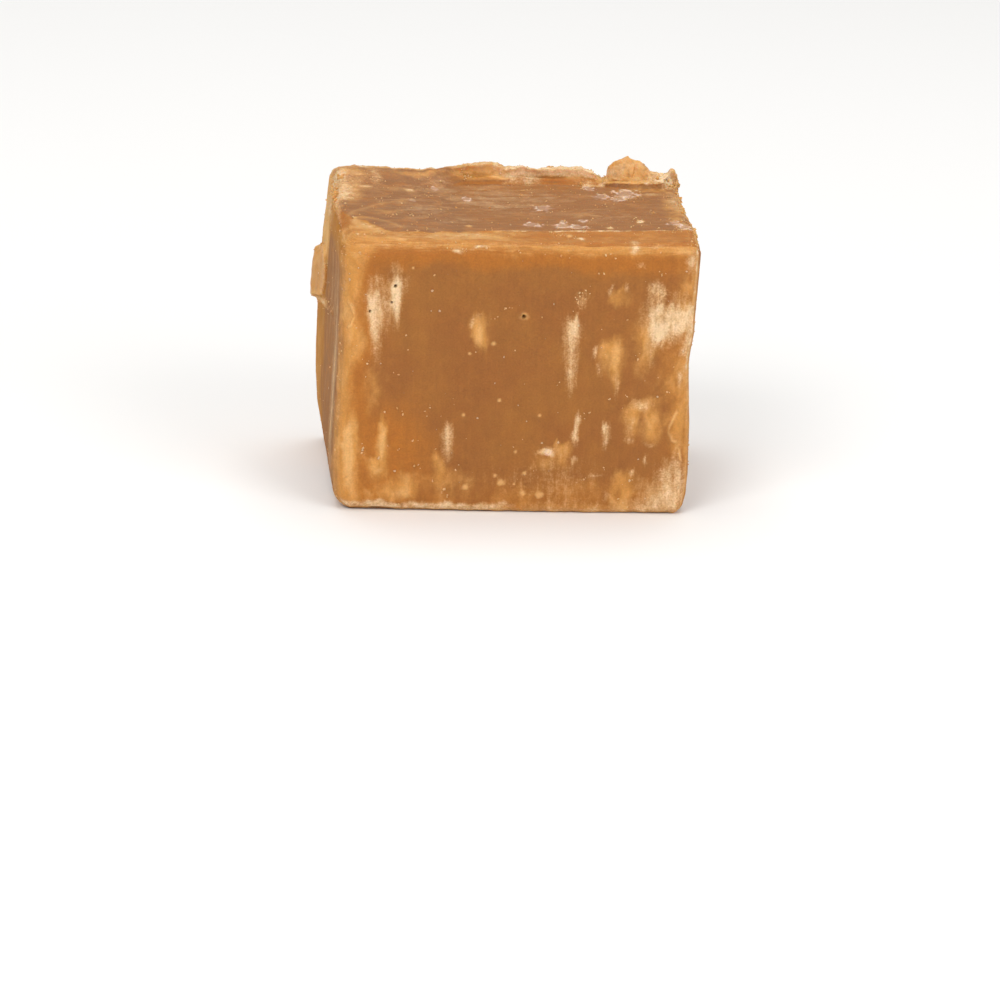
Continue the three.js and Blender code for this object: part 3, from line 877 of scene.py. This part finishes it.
def addSpecks(tree, inMm):
    # specks of set sugar in a few of the cells, with a dark line round each that is a painted shadow
    links = {"Vector": inMm, "Scale": 1 / fudgeLooks["speckBend"], "Detail": 1}
    bend = addNode(tree, "TexNoise", links, out="Color")
    bend = addNode(tree, "VectorMath", {0: bend, 3: 0.16}, operation="SCALE")
    bent = addNode(tree, "VectorMath", {0: inMm, 1: bend}, operation="ADD")
    links = {"Vector": bent, "Scale": 1 / fudgeLooks["speckCell"]}
    toCentre = addNode(tree, "TexVoronoi", links, out="Distance")
    pick = addNode(tree, "SeparateColor", {0: toCentre.node.outputs["Color"]})
    size = addNode(tree, "MapRange", {0: pick, 1: 0.84, 4: fudgeLooks["speckSize"]})
    room = addNode(tree, "Math", {0: size, 1: toCentre}, operation="SUBTRACT")
    speck = addNode(tree, "MapRange", {0: room, 2: 0.06})
    around = addNode(tree, "MapRange", {0: room, 1: -0.07, 2: 0})
    chosen = addNode(tree, "Math", {0: pick, 1: 0.86}, operation="GREATER_THAN")
    return speck, addNode(tree, "Math", {0: around, 1: chosen}, operation="MULTIPLY")


def setFudge():
    # Beaten butter fudge, set in a slab and knife cut: waxy and even on the cut, with a dry sugar bloom
    # where the blade dragged, golden where light gets into the rims (a glow partly painted in the colour),
    # and a dull skin on top.
    looks = fudgeLooks
    material, tree, shader = newMaterial("butter fudge, beaten and knife cut", {
        "IOR": 1.46, "Specular IOR Level": 0.35, "Subsurface Weight": 0.35,
        "Subsurface Radius": (1.0, 0.42, 0.16), "Subsurface Scale": 0.8 * mm,
    })
    place = addNode(tree, "TexCoord", out="Object")
    inMm = addNode(tree, "VectorMath", {0: place, 3: 1 / mm}, operation="SCALE")
    kinds = "gold pale cream torn skin warm up pit spot ring crack veil deep".split()
    held = {kind: addNode(tree, "Attribute", out="Fac", attribute_name=kind) for kind in kinds}

    noises = addPatterns(tree, inMm, held["up"])
    masks = tearMarks(tree, held, noises)
    masks["speck"], masks["speckShadow"] = addSpecks(tree, inMm)

    paint = linear(looks["brown"])
    for mask, colour, share in (
        ("slow", "amber", 1.0), ("warm", "orange", 1.0), ("deep", "deep", 0.85), ("skin", "skin", 0.95),
        ("ochre", "orange", 0.45), ("streak", "skinStreak", 0.7), ("veil", "sheenGrey", 0.75),
        ("gold", "gold", 0.9), ("gleam", "paleGold", 0.4), ("pale", "paleGold", 0.85), ("torn", "rose", 0.7),
        ("creviceShade", "creviceShade", 0.4), ("spot", "paleGold", 0.8), ("bloom", "bloom", 0.8),
        ("cream", "cream", 0.88), ("speckShadow", "dark", 0.22), ("speck", "cream", 0.6),
        ("ring", "pink", 0.8), ("crack", "paleGold", 0.85), ("pit", "dark", 0.85),
    ):
        amount = addNode(tree, "Math", {0: masks[mask], 1: share}, operation="MULTIPLY")
        links = {0: amount, 6: paint, 7: linear(looks[colour])}
        paint = addNode(tree, "Mix", links, out=2, data_type="RGBA")

    # faint light and dark of the drag lines and the grit over everything
    for noise, dark, light in (("fibre", 0.96, 1.04), ("grit", 0.91, 1.09), ("mottle", 0.94, 1.06)):
        tone = addNode(tree, "MapRange", {0: noises[noise], 1: 0.3, 2: 0.7, 3: dark, 4: light})
        paint = addNode(tree, "VectorMath", {0: paint, 3: tone}, operation="SCALE")

    # what is dry is rougher
    dry = addNode(tree, "Math", {0: masks["cream"], 1: masks["torn"]}, operation="MAXIMUM")
    dry = addNode(tree, "Math", {0: dry, 1: masks["deep"]}, operation="MAXIMUM")
    rough = addNode(tree, "MapRange", {0: dry, 3: looks["roughness"], 4: looks["dryRoughness"]})
    gritty = addNode(tree, "Math", {0: noises["grit"], 1: 0.2, 2: rough}, operation="MULTIPLY_ADD")
    lumpy = addNode(tree, "Math", {0: noises["crumb"], 1: masks["torn"]}, operation="MULTIPLY")
    bump = None
    for height, deep in (  # deep in mm; below 0 for what lies lower where it is brighter
        (noises["grit"], 0.05), (noises["fibre"], 0.025), (noises["mottle"], 0.06), (lumpy, -0.08),
        (masks["speck"], 0.05),
    ):
        links = {"Height": height, "Distance": abs(deep) * mm, "Strength": 0.8}
        if bump:
            links["Normal"] = bump
        bump = addNode(tree, "Bump", links, invert=deep < 0)
    for socket, value in (("Base Color", paint), ("Roughness", gritty), ("Normal", bump)):
        tree.links.new(value, shader.inputs[socket])
    print("material:", material.name, "with", len(tree.nodes), "nodes")
    return material


gritLooks = {
    "amber": "#C68B49",
    "pale": "#E3BA84",
    "patch": 1.5,  # mm, of the same tint
}


def setGrit():
    # Grains of set sugar that the knife broke loose: hard, pale and a little glassy, so that they catch
    # the light.
    sockets = {"Roughness": 0.5, "IOR": 1.54, "Subsurface Weight": 0.2, "Subsurface Scale": 0.3 * mm}
    material, tree, shader = newMaterial("set sugar grit, broken", sockets)
    place = addNode(tree, "TexCoord", out="Object")
    scale = 1 / (gritLooks["patch"] * mm)
    noise = addNode(tree, "TexNoise", {"Vector": place, "Scale": scale, "Detail": 3})
    mask = addNode(tree, "MapRange", {0: noise, 1: 0.35, 2: 0.65})
    links = {0: mask, 6: linear(gritLooks["amber"]), 7: linear(gritLooks["pale"])}
    tree.links.new(addNode(tree, "Mix", links, out=2, data_type="RGBA"), shader.inputs["Base Color"])
    print("material:", material.name, "with", len(tree.nodes), "nodes")
    return material


fudge = setFudge()
grit = setGrit()
blockPoints, blockFacing, blockValues, blockSides = makeBlock(fudge)

# The crumb caught on the crest
chip = {
    # corners of its angular lumps, which run into each other: (x, y, z), z above the top face
    "lumps": [
        [
            (8.1, 9.3, 0.05), (8.35, 8.3, 0.05), (8.7, 9, 0.66), (9, 8.3, 0.66), (9.3, 7.95, 0.05),
            (9.9, 9.6, 0.6), (10.4, 7.85, 0.05), (11.3, 7.8, 0.05), (11.3, 8.3, 0.66), (9.9, 8.1, 0.7),
        ],
        [
            (8.66, 9.3, 0.5), (8.74, 8.4, 0.5), (8.66, 9.2, 1.3), (8.8, 8.8, 1.42), (9.6, 8.4, 1.35),
            (10.3, 9.2, 2.16), (10.5, 9.6, 1.9), (10.7, 8.5, 1.45), (10.4, 8, 0.4), (11, 9.6, 0.4),
            (9.2, 8, 0.5), (9.3, 9.5, 1.65),
        ],
        [
            (10.2, 9.2, 2.06), (11.1, 9, 1.84), (11.45, 9, 1.62), (11.6, 8.8, 1.2), (12.1, 9, 0.9),
            (12.3, 9.5, 0.6), (10.5, 8.3, 0.3), (11.9, 8.2, 0.2), (10.5, 9.7, 0.4), (11.1, 8.4, 1.3),
        ],
        [
            (11.4, 8.2, 0.1), (11.5, 8.5, 1.15), (12.1, 8.8, 0.98), (12.75, 8.8, 0.8), (13.05, 9.2, 0.86),
            (13.2, 8.7, 0.1), (12.3, 7.9, 0.1), (11.6, 9.6, 0.3), (13, 9.7, 0.4),
        ],
    ],
    "voxel": 0.06,  # mm, of the mesh that joins them
    "grain": 0.1,  # mm, height of its grains
}


def makeChip(material):
    hull = bmesh.new()
    for corners in chip["lumps"]:
        verts = [hull.verts.new((x, y, block["height"] + z)) for x, y, z in corners]
        found = bmesh.ops.convex_hull(hull, input=verts)
        inner = [v for v in found["geom_interior"] if isinstance(v, bmesh.types.BMVert)]
        bmesh.ops.delete(hull, geom=inner, context="VERTS")
    mesh = bpy.data.meshes.new("chip")
    hull.to_mesh(mesh)
    hull.free()
    solid = addObject("chip", mesh)
    remesh = solid.modifiers.new("even", "REMESH")
    remesh.mode = "VOXEL"
    remesh.voxel_size = chip["voxel"]
    shaped = solid.evaluated_get(bpy.context.evaluated_depsgraph_get()).to_mesh()
    p = np.array([v.co for v in shaped.vertices])
    facing = np.array([v.normal for v in shaped.vertices])
    faces = [list(polygon.vertices) for polygon in shaped.polygons]
    bpy.data.objects.remove(solid)
    rough = grains(p, 0.45, 51) + 0.5 * grains(p, 0.22, 55) - 0.4
    p = p + facing * (chip["grain"] * rough + 0.1 * lumps(p, 0.6, 52, 3))[:, None]
    toRight, toLeft = ease(11.2, 12.0, p[:, 0]), ease(10.3, 9.5, p[:, 0])
    lit = toLeft * bell(p[:, 2] - block["height"] - 0.9, 0.45)
    values = {
        "gold": 1.0 + 0.3 * lumps(p, 0.8, 53),
        "torn": 0.15 + 0.3 * lumps(p, 0.7, 54) + 0.4 * toRight,
        "cream": 0.3 + 0.4 * lumps(p, 0.7, 56, 2) + 0.55 * toRight + 0.35 * lit,
        "pale": 0.75 + 0.4 * lumps(p, 1.1, 57),
        "warm": np.ones(len(p)),
        "pit": 0.3 * ease(0.35, 0.7, lumps(p, 0.35, 58)),
    }
    makePiece("crest_crumb", p, faces, material, values)


makeChip(fudge)

# Loose crumbs and grit, broken off at the rims
loose = {
    "crumbs": {"count": 160, "size": (0.05, 0.2), "detail": 2, "seed": 61},  # half size in mm
    "grit": {"count": 1500, "size": (0.03, 0.08), "detail": 1, "seed": 62},
    "stretch": (0.4, 1.5),  # of each bit along each of its own directions
    "raised": 0.2,  # of its half size over the block's surface
    "nudge": 0.08,  # mm along that surface
    "mostlySmall": 2.5,  # power on the random size: the larger it is, the fewer of them are large
    "fleckSizes": [0.08, 0.055, 0.04],  # half size in mm of the grains that make up one fleck
    # grains of grit that show on the top: (x, y)
    "topFlecks": [
        (-6.23, 3.19), (-6.82, 0.1), (-6.75, -2.18), (-8.68, -2.32), (-5.31, -1.8), (-4.97, 8.01),
        (-4.13, 7.62), (-11.06, -3.33), (-10.3, -5.25), (-9.68, -5.21), (-8.89, 1.98), (-9.15, 8.6),
        (-9.43, 6.94), (-11.06, 3.42), (-6.6, -7.09), (7.84, -5.24), (11.42, -0.61), (9.65, 3.47),
        (8.05, 4.23), (9.3, -5.14), (12.9, 4.58), (10.25, -2.97), (5.8, -5.9), (5, -5.9), (-0.8, 1.2),
        (2.6, 6.8), (-3.2, 0.9),
    ],
    # and on the front: (x, z)
    "flecks": [
        (-7.15, 12.48), (-7.92, 10.56), (-10.05, 11.43), (-7.8, 7.84), (-7.33, 7.58), (-5.59, 7.97),
        (-8.73, 7.72), (-10.31, 4.9), (-10.4, 4.45), (-8.3, 5.04), (-7.49, 4.89), (-6.45, 5.39),
        (-5.1, 4.98), (-3.4, 3.44), (-6.46, 3.56), (-4.97, 2.23), (-4.23, 1.75), (-4.1, 1.4),
        (0.69, 12.2), (3.96, 10.04), (5.96, 7.66), (6.47, 7.72), (7.7, 8.75), (9.85, 11.99),
        (12.36, 11.46), (9.06, 9.15), (12.16, 9.41), (2.45, 3.35), (7.51, 3.34), (12.98, 4.74),
        (10.64, 4.49), (8.85, 1.14), (6.13, 2.76), (-5.19, 18.1), (0.16, 15.76), (-0.74, 14.89),
        (2.61, 14.89), (6.82, 18.19), (11.39, 18.42), (-7.33, 13.52), (0, 15.6), (5.1, 16.6),
        (5.35, 16.85), (5.62, 16.7), (5.9, 17), (5.4, 16.3), (5.75, 16.35), (5.2, 16), (5.5, 16.05),
        (-4.2, 20.05), (-3.2, 20.06), (-1.5, 20.09), (0.8, 19.75), (4.7, 20), (3.8, 19.7), (7.2, 19.8),
        (7.7, 19.7), (11.1, 19.75), (-10.9, 19.6), (-10.1, 19.4),
    ],
}


def scatter(name, homes, size, material, values):
    # angular bits, each a little more than half out of the block, in one joined mesh; homes are
    # indices of the block's points
    look = loose[name]
    dice = np.random.default_rng(look["seed"] + 100)
    ball = bmesh.new()
    bmesh.ops.create_icosphere(ball, subdivisions=look["detail"], radius=1)
    unit = np.array([v.co for v in ball.verts])
    corners = np.array([[v.index for v in face.verts] for face in ball.faces])
    ball.free()
    turns, _ = np.linalg.qr(dice.normal(size=(len(homes), 3, 3)))
    stretch = dice.uniform(*loose["stretch"], (len(homes), 1, 3))
    apart = (unit[None] + 9 * np.arange(len(homes))[:, None, None]).reshape(-1, 3)
    knob = 1 + 0.4 * lumps(apart, 0.9, 63) + 0.35 * (grains(apart, 0.8, 65) - 0.3)
    bits = unit[None] * knob.reshape(len(homes), -1, 1) * stretch * size[:, None, None]
    bits = np.einsum("nij,nkj->nki", turns, bits)
    facing = blockFacing[homes]
    nudge = dice.normal(scale=loose["nudge"], size=facing.shape) * (1 - np.abs(facing))
    home = blockPoints[homes] + facing * (loose["raised"] * size)[:, None] + nudge
    home[:, 2] = most(home[:, 2], size)
    points = (bits + home[:, None]).reshape(-1, 3)
    faces = (corners[None] + len(unit) * np.arange(len(homes))[:, None, None]).reshape(-1, 3).tolist()
    held = {mark: np.full(len(points), value) for mark, value in values.items()}
    piece = makePiece(name, points, faces, material, held)
    piece.data.shade_flat()


def pickHomes(name, weights):
    # where the bits lie, and how large each is: most are small
    look = loose[name]
    dice = np.random.default_rng(look["seed"])
    homes = dice.choice(len(blockPoints), look["count"], p=weights / weights.sum())
    smallest, largest = look["size"]
    return homes, smallest + (largest - smallest) * dice.random(look["count"]) ** loose["mostlySmall"]


offFloor = blockPoints[:, 2] > 0.3
clumped = ease(0.1, 0.6, lumps(blockPoints, 1.2, 64, 2))
rough = ease(0.45, 0.8, blockValues["torn"]) * offFloor * (0.1 + clumped) * (blockPoints[:, 1] > -9.2)
scatter("crumbs", *pickHomes("crumbs", rough), fudge, {"torn": 0.5, "gold": 0.8, "cream": 0.35, "warm": 1})
sprinkled = 0.01 + 0.6 * rough + 0.25 * clumped**2 * (0.1 + blockValues["gold"] + 0.25 * blockValues["up"])
homes, size = pickHomes("grit", sprinkled * offFloor * (1 - 0.8 * blockSides["front"]))
shown = [onSide("front", x, z) for x, z in loose["flecks"]]
shown += [onSide("top", x, y) for x, y in loose["topFlecks"]]
for i, place in enumerate(shown):
    away = np.linalg.norm(blockPoints - place, axis=1)
    close = np.argsort(away, kind="stable")[[0, 3 + i % 5, 9 + i % 3]][: 1 + i % 3]
    homes = np.append(homes, close)
    size = np.append(size, loose["fleckSizes"][: 1 + i % 3])
scatter("grit", homes, size, grit, {})

studio = {
    "floor": "#F6F5F3",
    "floorSize": 6.0,  # half of it, in metres
    "worldStrength": 0.38,
    "lights": [  # (x, y, z in mm, size in mm, watts)
        (-260, -420, 420, 320, 1.75),
        (330, -380, 300, 320, 1.1),
        (0, 120, 520, 400, 1.4),
    ],
    "litHeight": 10,  # mm, where the lights point
}


def makeStudio():
    floor = bmesh.new()
    bmesh.ops.create_grid(floor, x_segments=1, y_segments=1, size=studio["floorSize"])
    mesh = bpy.data.meshes.new("floor")
    floor.to_mesh(mesh)
    floor.free()
    plane = addObject("floor", mesh)
    sockets = {"Base Color": linear(studio["floor"]), "Roughness": 0.9}
    mesh.materials.append(newMaterial("matt white card", sockets)[0])
    world = bpy.data.worlds.new("soft studio")
    bpy.context.scene.world = world
    world.use_nodes = True
    background = world.node_tree.nodes["Background"]
    background.inputs["Color"].default_value = (1, 1, 1, 1)
    background.inputs["Strength"].default_value = studio["worldStrength"]
    for i, (x, y, z, size, watts) in enumerate(studio["lights"]):
        lamp = bpy.data.lights.new(f"softbox_{i}", "AREA")
        lamp.shape = "SQUARE"
        lamp.size = size * mm
        lamp.energy = watts
        box = addObject(f"softbox_{i}", lamp)
        box.location = Vector((x, y, z)) * mm
        towards = Vector((0, 0, studio["litHeight"] * mm)) - box.location
        box.rotation_euler = towards.to_track_quat("-Z", "Y").to_euler()
        box.visible_camera = False


view = {
    "azimuth": -3.88,  # degrees, to the left of straight in front
    "elevation": 16.65,
    "roll": 1.75,
    "distance": 376.3,  # mm
    "aim": (0.4, -3.37, -1.0),
    "lens": 179.8,
    "sensor": 36,
}


def makeCamera():
    a, e = math.radians(view["azimuth"]), math.radians(view["elevation"])
    back = Vector((math.sin(a) * math.cos(e), -math.cos(a) * math.cos(e), math.sin(e)))
    camera = addObject("camera", bpy.data.cameras.new("camera"))
    camera.data.lens = view["lens"]
    camera.data.sensor_width = view["sensor"]
    camera.data.clip_start = 0.01
    camera.location = (Vector(view["aim"]) + back * view["distance"]) * mm
    level = (-back).to_track_quat("-Z", "Y").to_matrix()
    turn = level @ Matrix.Rotation(math.radians(view["roll"]), 3, "Z")
    camera.rotation_euler = turn.to_euler()
    bpy.context.scene.camera = camera


makeStudio()
print("studio: floor and", len(studio["lights"]), "lights")
makeCamera()
print("camera:", view["distance"], "mm away with a", view["lens"], "mm lens")
bpy.context.scene.view_settings.view_transform = "Standard"
